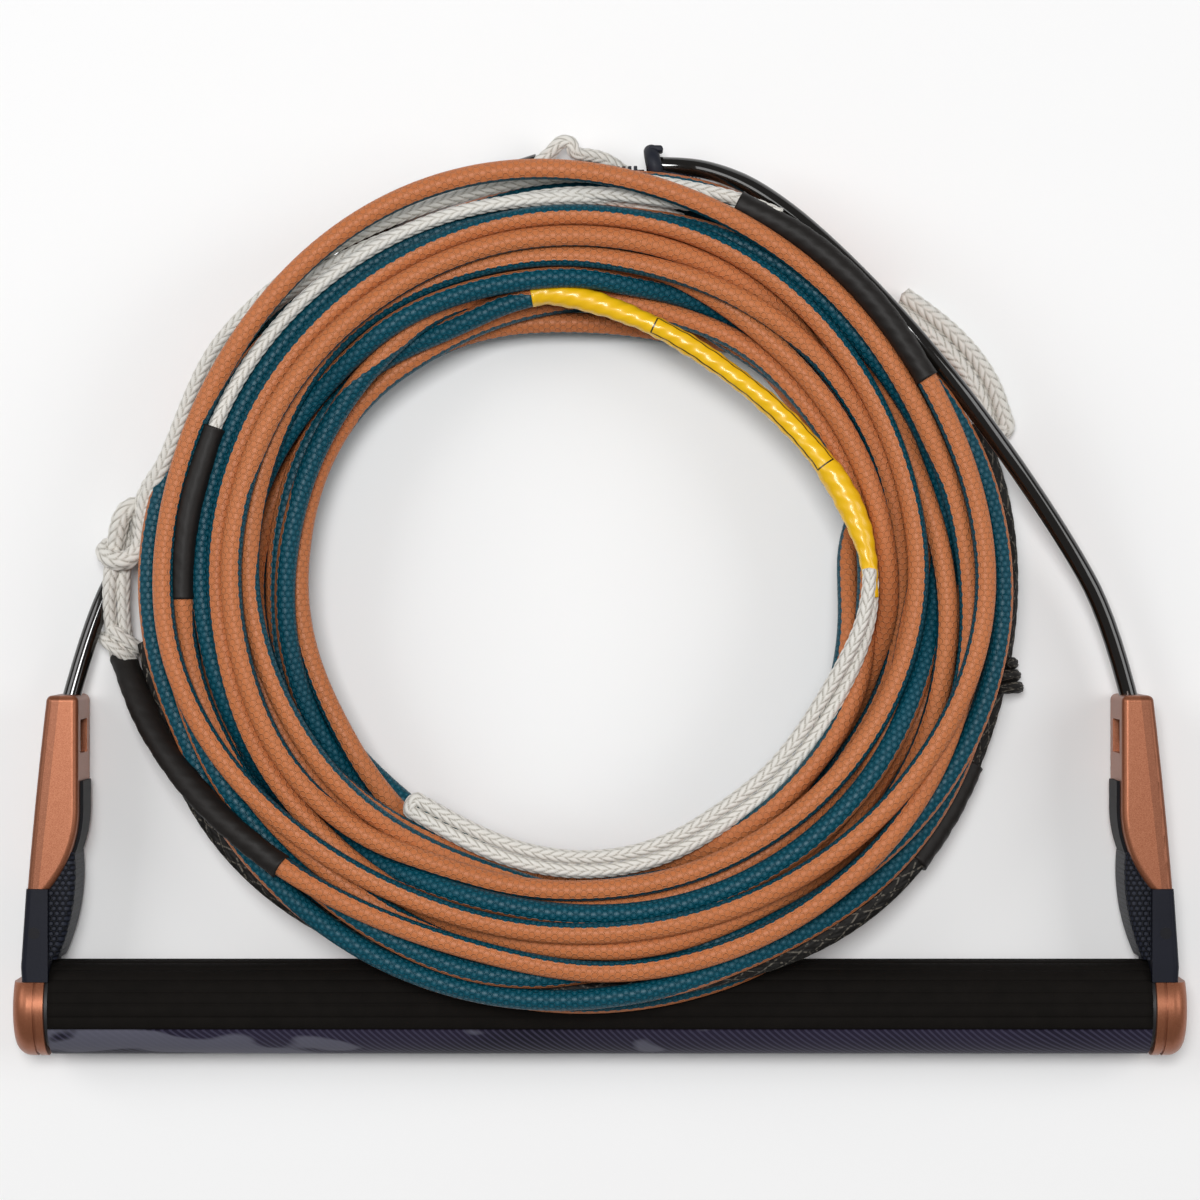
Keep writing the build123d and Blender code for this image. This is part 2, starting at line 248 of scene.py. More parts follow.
def hexagons(n, across, along, cell):
    """Distance from the middle of the nearest six-sided cell, 0 to 0.5 at the wall."""
    place = n.joined(n.plus(across, 40.0), n.math("MULTIPLY_ADD", along, 1 / cell, 40.0))
    pitch, half = (1.0, math.sqrt(3), 1.0), (0.5, math.sqrt(3) / 2, 0.0)
    offsets = []
    for shift in ((0, 0, 0), half):
        wrapped = n.vector("MODULO", n.vector("ADD", place, shift), pitch)
        x, y, _ = n.parts(n.vector("ABSOLUTE", n.vector("SUBTRACT", wrapped, half)))
        slant = n.plus(n.times(x, 0.5), n.times(y, math.sqrt(3) / 2))
        offsets.append(n.math("MAXIMUM", x, slant))
    return n.math("MINIMUM", *offsets)


def coated_line():
    """Coated line: copper on one half and teal on the other, embossed with six-sided cells, with painted
    highlights on the cell walls and in the teal cells.
    """
    n = Nodes("coated_line", (0.5, 0.2, 0.1), 0.42, specular_ior_level=0.22)
    u, v = n.uv()
    cells = hexagons(n, n.times(u, 10.0), v, 0.0021)
    wall = n.ramp(cells, 0.36, 0.48)
    side = n.math("COSINE", n.times(u, 2 * math.pi))
    wave = n.times(n.minus(cells, 0.3), 0.35)
    copper_side = n.ramp(n.plus(side, wave), -0.03, 0.03)
    drift = n.noise(1.0, 2.0, n.joined(n.times(v, 22.0)))
    copper = n.mix(drift, (0.47, 0.145, 0.048), (0.57, 0.19, 0.068))
    # Lighter copper on the cell walls is a painted highlight on their lit ridges.
    copper = n.mix(n.times(wall, 0.3), copper, (0.75, 0.32, 0.16))
    teal = n.mix(drift, (0.0, 0.052, 0.082), (0.0, 0.072, 0.108))
    # Painted highlight: light teal in the middle of each cell, where its hollow catches the light.
    painted_cell_glint = n.minus(1.0, n.ramp(cells, 0.05, 0.24))
    teal = n.mix(n.times(painted_cell_glint, 0.25), teal, (0.10, 0.26, 0.32))
    colour = n.mix(copper_side, teal, copper)
    seam = n.minus(1.0, n.ramp(n.size(side), 0.0, 0.16))
    height = n.plus(n.times(wall, 0.8), n.times(seam, 0.5))
    return n.finish(colour, height, 1.0, 0.00035)


def fibre_rope(name, light, dark, roughness):
    """Braided fibre: painted shade between the strands, with fine filaments."""
    n = Nodes(name, light, roughness, sheen_weight=0.2)
    u, v = n.uv()
    filaments = n.noise(1.0, 2.0, n.joined(n.times(u, 90.0), n.times(v, 700.0)))
    # dark where the relief is low: painted shade between the strands
    colour = n.mix(n.ramp(n.relief(), 0.05, 0.75), dark, light)
    colour = n.mix(n.times(filaments, 0.25), colour, dark)
    return n.finish(colour, filaments, 0.5, 0.00015)


def black_braid():
    """Black braid with light fleck lines along its strands."""
    n = Nodes("black_braid", (0.012, 0.011, 0.010), 0.6, specular_ior_level=0.25)
    u, v = n.uv()
    lines = []
    for way in (1, -1):
        lean = n.plus(n.times(u, 6.0), n.times(v, way * 110.0))
        saw = n.size(n.minus(n.math("FRACT", n.plus(lean, 60.0)), 0.5))
        lines.append(n.ramp(saw, 0.09, 0.04))
    fleck = n.times(n.math("MAXIMUM", *lines), n.ramp(n.noise(900.0, 1.0), 0.42, 0.55))
    colour = n.mix(n.times(fleck, 0.4), (0.010, 0.009, 0.008), (0.30, 0.27, 0.22))
    # Near black where the relief is low: painted shade between the strands.
    colour = n.mix(n.ramp(n.relief(), 0.5, 0.1), colour, (0.003, 0.003, 0.003))
    return n.finish(colour, n.noise(2200.0), 0.5, 0.0001)


def yellow_film():
    """Yellow shrink film with a thin blank frame printed on it."""
    n = Nodes("yellow_film", (0.86, 0.50, 0.004), 0.33, coat_weight=0.2)
    u, v = n.uv()
    shade = n.mix(n.noise(70.0), (0.82, 0.45, 0.003), (0.90, 0.55, 0.006))
    from_middle = n.size(n.minus(u, 0.5))
    from_centre = n.size(n.minus(v, 0.078))
    edge = n.math("LESS_THAN", n.size(n.minus(from_middle, 0.36)), 0.012)
    end = n.math("LESS_THAN", n.size(n.minus(from_centre, 0.036)), 0.00025)
    within = n.math("LESS_THAN", from_centre, 0.036)
    outside = n.math("GREATER_THAN", from_middle, 0.36)
    frame_line = n.math("MAXIMUM", n.times(edge, within), n.times(end, outside))
    return n.finish(n.mix(frame_line, shade, (0.02, 0.015, 0.01)), n.noise(420.0), 0.25, 0.0003)


def foam():
    """Closed-cell foam."""
    n = Nodes("grip_foam_skin", (0.005, 0.004, 0.0035), 0.85, specular_ior_level=0.12)
    shade = n.mix(n.noise(180.0), (0.0035, 0.0028, 0.0022), (0.0075, 0.006, 0.005))
    return n.finish(shade, n.noise(2600.0), 0.6, 0.00012)


def printed_band():
    """Dark violet band with fine slanted lines and grey blotches."""
    n = Nodes("printed_band", (0.03, 0.026, 0.06), 0.6, specular_ior_level=0.2)
    x, y, z = n.parts(n.place())
    height = n.plus(z, -GRIP_AXIS[1])
    outward = n.times(n.plus(y, -GRIP_AXIS[0]), -1.0)
    round_bar = n.math("ARCTAN2", height, outward)
    warp = n.times(n.noise(11.0, 1.0), 9.0)
    lean = n.plus(n.times(x, 400.0), n.times(round_bar, 6.5))
    wave = n.math("SINE", n.times(n.plus(lean, warp), 2 * math.pi))
    line = n.ramp(wave, 0.1, 0.6)
    stretched = n.node("ShaderNodeMapping")
    stretched.inputs["Scale"].default_value = (1.0, 2.2, 2.2)
    n.link(n.place(), stretched.inputs["Vector"])
    blot = n.ramp(n.noise(26.0, 1.5, stretched.outputs[0]), 0.60, 0.64)
    patch = n.ramp(n.noise(14.0, 1.0, stretched.outputs[0]), 0.35, 0.6)
    base = n.mix(patch, (0.006, 0.005, 0.013), (0.018, 0.014, 0.032))
    base = n.mix(n.times(line, 0.5), base, (0.075, 0.07, 0.12))
    base = n.mix(n.times(blot, 0.75), base, (0.13, 0.13, 0.17))
    return n.finish(base, n.noise(1500.0), 0.4, 0.00008)


def scaled_rubber():
    """Navy rubber moulded with rows of small scales."""
    n = Nodes("scaled_rubber", (0.008, 0.009, 0.014), 0.5, specular_ior_level=0.25)
    x, y, z = n.parts(n.place())
    across = n.math("MULTIPLY_ADD", n.plus(x, z), 520.0, 300.0)
    cells = hexagons(n, across, y, 0.0019)
    wall = n.ramp(cells, 0.25, 0.48)
    colour = n.mix(wall, (0.013, 0.016, 0.028), (0.003, 0.0035, 0.006))
    return n.finish(colour, wall, 1.0, 0.0004)


# -------- meshes

def piece_of(name, points, faces, material):
    """Smooth-shaded piece made of points and faces."""
    mesh = bpy.data.meshes.new(name)
    mesh.from_pydata(points, [], faces)
    mesh.materials.append(material)
    mesh.shade_smooth()
    return placed(name, mesh)


def ring_faces(rings, sides):
    """Faces of a body made of equal rings of points, closed at both ends."""
    faces = []
    for i in range(rings - 1):
        here, there = i * sides, (i + 1) * sides
        for k in range(sides):
            after = (k + 1) % sides
            faces.append((here + k, here + after, there + after, there + k))
    return faces + [tuple(range(sides))[::-1], tuple(range((rings - 1) * sides, rings * sides))]


def cord_curve(name, points):
    """Open NURBS curve with the given control points."""
    data = bpy.data.curves.new(name, "CURVE")
    data.dimensions = "3D"
    data.resolution_u = 6
    spline = data.splines.new("NURBS")
    spline.points.add(len(points) - 1)
    for slot, point in zip(spline.points, points):
        slot.co = (*point, 1)
    spline.order_u = 3
    spline.use_endpoint_u = True
    return placed(name, data)


def sampled(points, step):
    """Points about a step apart on the NURBS spline through a route's control points."""
    guide = cord_curve("guide", points)
    mesh = bpy.data.meshes.new_from_object(guide)
    line = np.array([vertex.co[:] for vertex in mesh.vertices])
    bpy.data.objects.remove(guide)
    bpy.data.meshes.remove(mesh)
    along = distances(line)
    count = max(3, int(round(along[-1] / step)) + 1)
    wanted = np.linspace(0, along[-1], count)
    return np.stack([np.interp(wanted, along, line[:, k]) for k in range(3)], axis=1)


def distances(line):
    """Distance along a line at each of its points."""
    return np.concatenate([[0], np.cumsum(np.linalg.norm(np.diff(line, axis=0), axis=1))])


def frames(line):
    """Tangent, upward and outward unit vectors at each point; outward is to the right of the way along."""
    tangent = np.gradient(line, axis=0)
    tangent /= np.linalg.norm(tangent, axis=1)[:, None]
    out = np.cross(tangent, (0, 0, 1.0))
    out /= np.maximum(np.linalg.norm(out, axis=1), 1e-6)[:, None]
    return tangent, np.cross(out, tangent), out


def carried_frames(line):
    """Tangent and two side vectors that turn as little as possible, for routes that climb steeply."""
    tangent, up, _ = frames(line)
    carried = [up[0]]
    for here, there, t_here, t_there in zip(line, line[1:], tangent, tangent[1:]):
        step = there - here
        size = step @ step
        side = carried[-1] - 2 / size * (step @ carried[-1]) * step
        turned = t_here - 2 / size * (step @ t_here) * step
        change = t_there - turned
        carried.append(side - 2 / max(change @ change, 1e-18) * (change @ side) * change)
    up = np.array(carried)
    return tangent, up, np.cross(tangent, up)


def tube_uv(along, roll, sides):
    """Corners of a tube's quads and end triangles: fraction round it, and distance along it."""
    i, k = np.meshgrid(np.arange(len(along) - 1), np.arange(sides), indexing="ij")
    corners = [np.stack([(k + aside) / sides - roll[i + ahead], along[i + ahead]], -1)
               for ahead, aside in ((0, 0), (0, 1), (1, 1), (1, 0))]
    ends = [((k + aside) / sides, v) for v in (0.0, along[-1]) for k in range(sides) for aside in (0.5, 0, 1)]
    return np.vstack([np.stack(corners, axis=2).reshape(-1, 2), ends]).astype(np.float32)


def tube_mesh(name, line, radius, material, sides, roll=0.0, relief=None, round_ends=True, carried=False):
    """Tube round a line. radius is a number, or one for each point and side; roll is in degrees."""
    count = len(line)
    tangent, up, out = carried_frames(line) if carried else frames(line)
    radius = np.broadcast_to(radius, (count, sides))
    angle = np.arange(sides) / sides * 2 * math.pi
    ring = np.cos(angle)[None, :, None] * up[:, None, :] + np.sin(angle)[None, :, None] * out[:, None, :]
    points = (line[:, None, :] + radius[:, :, None] * ring).reshape(-1, 3)
    bulge = radius[0].mean() * (0.35 if round_ends else 0.0)
    points = np.vstack([points, line[0] - tangent[0] * bulge, line[-1] + tangent[-1] * bulge])
    start, end, last = count * sides, count * sides + 1, (count - 1) * sides
    faces = ring_faces(count, sides)[:-2]
    faces += [(start, (k + 1) % sides, k) for k in range(sides)]
    faces += [(end, last + k, last + (k + 1) % sides) for k in range(sides)]
    tube = piece_of(name, points.tolist(), faces, material)
    roll = np.broadcast_to(roll, (count,)) / 360
    layer = tube.data.uv_layers.new(name="Along")
    layer.data.foreach_set("uv", tube_uv(distances(line), roll, sides).ravel())
    if relief is not None:
        layer = tube.data.attributes.new("relief", "FLOAT", "POINT")
        layer.data.foreach_set("value", np.append(relief.ravel(), [0.5, 0.5]).astype(np.float32))
    return tube


def braid_relief(line, sides, columns, pitch):
    """Height from 0 to 1 of a braid's slanted stitches, in columns that lean to alternate sides."""
    along = distances(line)[:, None]
    turn = np.arange(sides)[None, :] / sides * columns
    column = np.floor(turn)
    x = turn - column - 0.5
    lean = np.where(column % 2 == 0, 1.0, -1.0)
    y = (along / pitch + lean * x * 0.9 + 0.5 * (column % 2)) % 1 - 0.5
    return np.sqrt(np.clip(1 - (1.75 * x) ** 2, 0, 1)) * (1 - np.abs(2 * y) ** 3)


def braided_rope(name, points, diameter, material, columns=6, pitch=0.0036, depth=0.22, sides=36):
    """Braided rope with its stitches in the mesh, and its line. diameter is a number or one per point."""
    line = sampled(points, 0.0006)
    if not np.isscalar(diameter):
        route = distances(np.array(points))
        diameter = np.interp(distances(line) / distances(line)[-1], route / route[-1], diameter)[:, None]
    relief = braid_relief(line, sides, columns, pitch)
    radius = diameter / 2 * (1 - depth + depth * relief)
    rope = tube_mesh(name, line, radius, material, sides, relief=relief, carried=True)
    return rope, sampled(points, 0.004)


# -------- winding of the coil, in millimetres and degrees

MM = 0.001
STATIONS = 48
STEP = 360 / STATIONS
COIL_CENTRE = (-5.0, 95.0)
LINE_RADIUS = 3.5
BAR_Y, BAR_Z, BAR_CLEAR_RADIUS = -43.0, 16.0, 15.9
ROUNDS = 900
# Shares of the rounds after which the shown cords are drawn less, and then hardly at all.
LET_GO, COME_TO_REST = 0.6, 0.85

# Stretches that show from above: (angle, distance from the centre, roll of the copper side) along the cord.
TAKE_OFF = [
    (225, 130, 0), (240, 123.5, 0), (255, 120, 10), (270, 123, 10), (285, 125, 0), (300, 125.5, 0),
    (315, 126.5, 0), (330, 127, 0), (345, 126, 0), (360, 124, 0), (372, 122, 10), (390, 121.5, 20),
    (405, 123.5, 25), (420, 125.5, 30), (435, 128, 35), (450, 132.2, 35), (460, 135.5, 35),
    (475, 137.5, 30), (490, 137, 25), (505, 135, 20), (525, 134.5, 5), (540, 135.5, 0), (550, 134.5, 0),
    (560, 131, 0), (570, 126.5, 0), (580, 121.5, 5), (590, 117, 10), (600, 114, 10), (615, 111.5, 10),
    (630, 111, 10), (645, 112, 10), (660, 114, 0), (675, 117.5, 0), (690, 122, 0), (705, 126, 0),
    (720, 128.5, 0), (735, 127.5, 0), (750, 125, 0),
]
SHORT = [
    (187.5, 128.4, 0), (200, 127, 0), (210, 126.5, 0), (220, 125, 0), (230, 122.5, 0), (240, 120.5, 10),
    (250, 119, 20),
]
# Long section, from its inner end: (turn the stretch belongs to, lift above the bundle's top, the stretch)
MAIN = {
    "start": (0, 4, [(105, 95, 180), (120, 96.2, 180), (128, 96.5, 180)]),
    "innermost": (1, -7, [
        (60, 87, 20), (85, 86.5, 20), (100, 89, 20), (120, 92.5, 20), (140, 95, 30), (160, 96, 90),
        (180, 95, 150), (200, 94.5, 170), (220, 95, 170), (245, 95.5, 170), (270, 96, 170), (300, 94, 150)]),
    "inner": (2, -2, [
        (95, 89, 0), (105, 91.5, 0), (120, 94.3, 0), (135, 95.9, 0), (150, 94.9, -20), (165, 94.3, -40),
        (200, 94.3, -60), (230, 94.6, -30), (250, 94.9, -20)]),
    "inner_copper": (3, -1, [
        (280, 94, 0), (300, 93, 0), (320, 91.8, 0), (335, 91.5, 0), (350, 92.4, 0), (380, 92.7, 0),
        (400, 92.7, 0), (415, 94.6, 0), (430, 95.2, 0), (445, 94.6, 0), (465, 96.5, 0), (480, 98.7, 0),
        (492, 98.4, 60), (505, 97.1, 170), (540, 96.5, 180), (565, 96.5, 180), (580, 97.8, 180),
        (600, 97.2, 180)]),
    "right_copper": (6, -1, [
        (345, 96, -20), (360, 97.8, -20), (380, 97.8, -20), (400, 98.4, -30), (420, 100, -30),
        (435, 101.9, -40), (450, 103.8, -40), (465, 105.4, -40)]),
    "inner_teal": (8, 0, [
        (60, 97, 180), (80, 99, 180), (95, 100, 180), (110, 101.9, 180), (125, 105, 180),
        (140, 107.6, 180), (155, 109, 160), (170, 110.8, 90), (180, 111, 20), (200, 109, 20),
        (215, 107.3, 30), (230, 105, 30)]),
    "middle_copper": (10, 0, [
        (0, 102.6, 0), (20, 103.8, 0), (40, 104.5, 0), (60, 104.1, 20), (75, 104.8, 45), (90, 105.7, 60),
        (105, 107, 60), (120, 108.6, 70), (135, 109.9, 60), (165, 109.5, 20), (180, 108.3, 10),
        (190, 106.7, 10), (200, 104.8, 10), (215, 102.9, 10), (230, 102.5, 10), (245, 100.6, 0)]),
    "long_copper": (12, 1, [
        (42, 107.6, 10), (60, 110.8, 10), (90, 111.5, 20), (120, 113.4, 25), (150, 113, 20),
        (180, 113.4, 0), (210, 112.4, 0), (230, 107, -20), (250, 101.3, -45), (270, 98.7, -45),
        (300, 99, -50), (330, 102.6, -55), (360, 107.6, -60), (390, 108.9, -65), (410, 113.7, -70),
        (420, 116.6, -75), (450, 118.2, -75), (480, 118.5, -75), (510, 119.1, -60), (540, 118.2, -50),
        (570, 117.2, -30), (585, 115.5, -30)]),
    "top_teal": (15, 0, [
        (0, 119, 180), (20, 118.5, 180), (45, 119, 180), (60, 121, 180), (75, 122, 180), (90, 122.3, 180),
        (110, 123.9, 165), (130, 124.9, 150), (150, 124.2, 148), (180, 123.6, 150), (200, 123, 160),
        (215, 120, 170)]),
    "bottom_teal": (16, -1, [
        (240, 105, 180), (260, 106.4, 180), (280, 106.7, 180), (300, 108.3, 180), (320, 109.9, 180),
        (340, 110.5, 180), (355, 110.2, 180)]),
    "right_short": (18, 0, [
        (325, 121, 30), (340, 119.8, 30), (350, 118.2, 30), (365, 115.5, 20), (380, 113.4, 10),
        (395, 114, 0)]),
    "bottom_copper": (20, -1, [
        (245, 115, 0), (260, 115.5, 0), (275, 116, 0), (290, 117, 0), (305, 119, 0)]),
    "right_teal": (21, 0, [
        (255, 116, 180), (270, 117.5, 180), (285, 119.1, 180), (300, 122, 180), (320, 127.4, 180),
        (340, 133.8, 180), (350, 135, 180), (365, 134.7, 180), (380, 130.9, 180), (390, 128.4, 180),
        (405, 126.1, 180), (420, 125, 180)]),
    "low_teal": (23, 0, [
        (225, 127, 180), (240, 128.7, 180), (255, 128.7, 180), (270, 126.8, 180), (280, 126, 180)]),
    "outer_teal": (24, 0, [
        (150, 139, 180), (170, 142, 180), (180, 142.3, 180), (190, 142, 180), (210, 140, 180),
        (230, 137.5, 175), (250, 134, 170), (270, 131.2, 170), (285, 129.6, 180), (300, 128, 180)]),
}
MAIN_TURNS = 26.2
# A line that lies with one colour up leans by this angle, so that a sliver of the other colour shows.
LEAN = 42
# (angle, lift above the bundle's top)
TAKE_OFF_LIFT = [(225, 3), (420, 3), (445, 17), (480, 20), (505, 17), (530, 8), (560, 3), (750, 3)]

# Stretches of rope and sleeve on the same cords: (angle, distance from the centre, height).
LEAD = [
    (232, 90, 34), (240, 88.5, 36), (250, 89.5, 38), (270, 90.4, 39), (300, 88.8, 38), (320, 87.5, 37),
    (330, 87.2, 36), (340, 88.2, 36), (350, 91.5, 38), (357, 93.8, 41), (363, 93, 43), (370, 91, 42),
    (380, 88, 40), (395, 84.3, 36), (410, 82, 34), (425, 83.5, 35), (440, 87.5, 37), (455, 93, 38.5),
]
TOP_ROPE = [
    (757.5, 126.5, 45), (765, 127.3, 44.5), (772.5, 129, 43.5), (780, 131, 42), (787.5, 132, 40.5),
    (793, 131.2, 38.5), (797, 129.5, 37), (802.5, 127.8, 36), (815, 127.5, 35), (825, 128.5, 34),
    (840, 131.5, 33), (847, 133.5, 33), (860, 139, 31), (870, 141, 30), (877.5, 141.3, 29),
]
LINK_SLEEVE = [
    (187.5, 156, 5), (195, 149.5, 16), (202.5, 143, 31), (210, 138.5, 38), (217.5, 135, 41),
    (222.5, 132.9, 42.5),
]
BRAID = [
    (187.5, 144.5, 12), (199.5, 146.5, 13), (210, 146, 16), (221, 143.5, 26), (233.5, 137, 35),
    (245, 131.5, 38), (255, 128.5, 39), (270, 127, 40), (285, 128.5, 42), (292, 132, 42), (300, 136, 38),
    (311, 140, 31), (319, 141.5, 27), (325.4, 140, 21), (332.8, 139, 15), (339.3, 138.5, 10),
    (348.6, 139, 6), (358.8, 139.8, 5), (368.3, 139.8, 5), (377.7, 140, 5), (382.5, 139, 5),
]
SIDE_ROPE = [
    (75, 122, 30), (82.5, 124, 33), (90, 126, 35), (97.5, 127, 36), (112.5, 127.5, 37), (130, 128.5, 38),
    (150, 129.5, 40), (165, 129, 42), (180, 128.6, 44),
]
# The right bridle tube where it lies over the coil
TUBE_OVER = [(15, 142, 30.5), (21, 139.6, 35), (38.6, 133, 39.5), (56, 134.5, 36), (67.5, 138, 27)]


# The bundle's outline: an oval section whose middle, width and height change a little round the coil.
BUNDLE_RADIUS = 113.4
BUNDLE_HALF_WIDTH = 26.0
BUNDLE_HALF_HEIGHT = 20.5
BUNDLE_LOW_MIDDLE = 18.5
BUNDLE_LOW_Y = 205
BUNDLE_TILT = math.radians(3.2)
NARROW_ANGLE = 110
LAYERS = (-0.80, -0.44, -0.08, 0.28, 0.62)
LINES_ACROSS = 7.2


def band(angle):
    """Bundle's middle distance, middle height, half width and half height at an angle."""
    c, s = np.cos(np.radians(angle)), np.sin(np.radians(angle))
    narrow = np.exp(-(((angle - NARROW_ANGLE) % 360 + 180) % 360 - 180) ** 2 / 500)
    middle = BUNDLE_RADIUS - 2.8 * c - 1.5 * s - 3.5 * narrow
    height = BUNDLE_LOW_MIDDLE + (BUNDLE_LOW_Y - COIL_CENTRE[1] - middle * s) * math.tan(BUNDLE_TILT)
    half = BUNDLE_HALF_WIDTH + 2.6 * c + 1.6 * s - 4.5 * narrow
    return middle, height, half, np.full_like(c, BUNDLE_HALF_HEIGHT)


def top_of_bundle(angle, distance):
    """Height of a line's middle where it lies on top of the bundle."""
    middle, height, half, tall = band(angle)
    across = np.clip((distance - middle) / (half - LINE_RADIUS), -0.95, 0.95)
    return height + (tall - LINE_RADIUS) * np.sqrt(1 - across**2)


def resting_places(count):
    """Places in the bundle, from its inner to its outer side, as fractions of its half width and height."""
    places = []
    for height in LAYERS:
        reach = math.sqrt(1 - height**2)
        wide = int(reach * LINES_ACROSS + 0.3)
        for k in range(wide):
            places.append((((k + 0.5) / wide * 2 - 1) * reach, height))
    places.sort(key=lambda place: place[0] + 0.1 * place[1])
    pick = np.linspace(0, len(places) - 1, count).round().astype(int)
    return np.array(places)[pick]


def smooth_step(value):
    """From 0 to 1, slow at both ends."""
    value = np.clip(value, 0, 1)
    return value**2 * (3 - 2 * value)


class Winding:
    """One cord's stations round the coil, with the places that it is drawn to."""

    def __init__(self, first_angle, last_angle, radius=LINE_RADIUS):
        self.first = round(first_angle / STEP)
        self.index = np.arange(self.first, round(last_angle / STEP) + 1)
        self.angle = self.index * STEP
        count = len(self.index)
        self.r, self.z, self.roll = (np.full(count, np.nan) for _ in range(3))
        self.hold, self.hold_z = np.zeros(count), np.zeros(count)
        self.radius = np.full(count, float(radius))

    def stretch(self, points, turn=0):
        """Stations that a stretch covers, and its values there."""
        angle = np.array([point[0] for point in points], float) + 360 * turn
        k = np.flatnonzero((self.angle >= angle[0] - 1e-6) & (self.angle <= angle[-1] + 1e-6))
        return k, [np.interp(self.angle[k], angle, column) for column in list(zip(*points))[1:]]

    def show_line(self, points, turn=0, lift=0.0, hold=0.6):
        """Coated line that shows on top of the bundle. lift is a number or (angle, lift) pairs."""
        k, (distance, roll) = self.stretch(points, turn)
        roll = np.where(roll > 175, roll - LEAN, np.where(np.abs(roll) < 12, roll + LEAN, roll))
        self.r[k], self.roll[k] = distance, roll
        if not isinstance(lift, (int, float)):
            lift = np.interp(self.angle[k], *zip(*lift))
        self.z[k] = top_of_bundle(self.angle[k], self.r[k]) + lift
        self.hold[k], self.hold_z[k] = hold, 0.12

    def show_rope(self, points, radius, turn=0, hold=0.8):
        """Rope or sleeve at its own height, with the room it takes as a radius."""
        k, (distance, height) = self.stretch(points, turn)
        self.r[k], self.z[k], self.roll[k] = distance, height, 0
        self.hold[k], self.hold_z[k] = hold, 0.5
        self.radius[k] = radius

    def fill(self, places):
        """Hidden stretches: each turn keeps to a place and changes to the next at its own angle."""
        middle, height, half, tall = band(self.angle)
        turn = np.floor(self.angle / 360).astype(int) - int(self.angle[0] // 360)
        along = smooth_step(((self.angle / 360) % 1 - (0.618 * turn) % 1 * 0.75) / 0.25)
        last = len(places) - 1
        here, after = places[np.minimum(turn, last)], places[np.minimum(turn + 1, last)]
        place = here * (1 - along[:, None]) + after * along[:, None]
        low_r = middle + place[:, 0] * (half - LINE_RADIUS)
        low_z = height + place[:, 1] * (tall - LINE_RADIUS)
        known = np.flatnonzero(~np.isnan(self.r))
        i = np.arange(len(self.r))
        away = smooth_step(np.abs(i[:, None] - known[None, :]).min(axis=1) / 7)
        held = [np.interp(i, known, values[known]) for values in (self.r, self.z, self.roll)]
        gap = np.isnan(self.r)
        self.r = np.where(gap, held[0] * (1 - away) + low_r * away, self.r)
        self.z = np.where(gap, held[1] * (1 - away) + low_z * away, self.z)
        self.roll = np.where(gap, held[2], self.roll)
        self.hold = np.where(gap, 0.04 * away, self.hold)
        self.hold_z = np.where(gap, 0.04 * away, self.hold_z)


def neighbours(windings, offsets):
    """Pairs of stations at the same angle on different turns."""
    rows = []
    for winding, offset in zip(windings, offsets):
        for turn in range(winding.index[0] // STATIONS, winding.index[-1] // STATIONS + 1):
            row = np.full(STATIONS, -1)
            here = winding.index // STATIONS == turn
            row[winding.index[here] % STATIONS] = offset + np.flatnonzero(here)
            rows.append(row)
    rows = np.array(rows)
    a, b = np.triu_indices(len(rows), 1)
    both = (rows[a] >= 0) & (rows[b] >= 0)
    return rows[a][both], rows[b][both]


def stiffen(values, amount):
    """Even out a cord's bends along its length."""
    lap = np.zeros_like(values)
    lap[1:-1] = values[2:] + values[:-2] - 2 * values[1:-1]
    bend = np.zeros_like(values)
    bend[2:-2] = lap[3:-1] + lap[1:-3] - 2 * lap[2:-2]
    return values - amount * (bend / 12 - 0.05 * lap)


